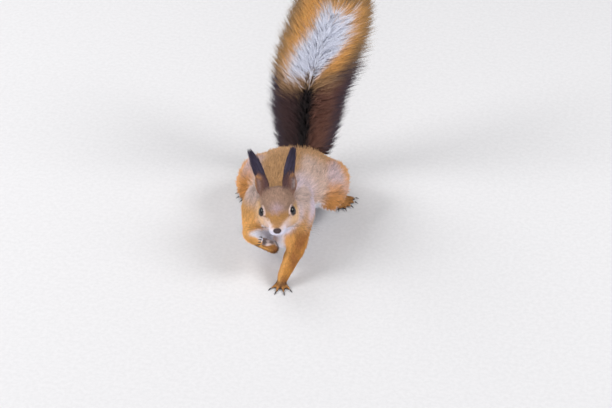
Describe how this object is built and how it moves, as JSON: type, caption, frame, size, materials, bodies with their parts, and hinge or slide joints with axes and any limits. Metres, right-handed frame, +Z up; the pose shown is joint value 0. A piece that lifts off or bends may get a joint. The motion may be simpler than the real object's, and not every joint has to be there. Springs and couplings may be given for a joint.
{
  "type": "red squirrel model",
  "caption": "Life-size still model of a red squirrel crouched on three feet with one forefoot lifted, tufted ears and a raised bushy tail.",
  "frame": {"origin": "middle of the base, on the floor that the feet stand on", "axes": "+Z up, the squirrel faces -Y, its own left side is +X"},
  "size_m": [0.1266, 0.2518, 0.2183],
  "materials": {
    "coat": "short soft fur",
    "tail_coat": "long loose fur",
    "tuft_coat": "long fine fur",
    "nose_skin": "moist bare skin",
    "claw_horn": "satin horn",
    "eye_gloss": "wet gloss"
  },
  "bodies": {
    "root": {"ear_left": "coat", "ear_right": "coat", "ear_tuft_left": "tuft_coat", "ear_tuft_right": "tuft_coat", "eye_left": "eye_gloss", "eye_right": "eye_gloss", "forearm_left": "coat", "forearm_right": "coat", "hand_left": "coat", "hand_left_claw_1": "claw_horn", "hand_left_claw_2": "claw_horn", "hand_left_claw_3": "claw_horn", "hand_left_claw_4": "claw_horn", "hand_right": "coat", "hand_right_claw_1": "claw_horn", "hand_right_claw_2": "claw_horn", "hand_right_claw_3": "claw_horn", "hand_right_claw_4": "claw_horn", "head": "coat", "hind_foot_left": "coat", "hind_foot_left_claw_1": "claw_horn", "hind_foot_left_claw_2": "claw_horn", "hind_foot_left_claw_3": "claw_horn", "hind_foot_left_claw_4": "claw_horn", "hind_foot_left_claw_5": "claw_horn", "hind_foot_right": "coat", "hind_foot_right_claw_1": "claw_horn", "hind_foot_right_claw_2": "claw_horn", "hind_foot_right_claw_3": "claw_horn", "hind_foot_right_claw_4": "claw_horn", "hind_foot_right_claw_5": "claw_horn", "neck": "coat", "nose": "nose_skin", "shank_left": "coat", "shank_right": "coat", "tail_base": "tail_coat", "tail_middle": "tail_coat", "tail_tip": "tail_coat", "thigh_left": "coat", "thigh_right": "coat", "trunk": "coat", "upper_arm_left": "coat", "upper_arm_right": "coat"}
  },
  "joints": []
}
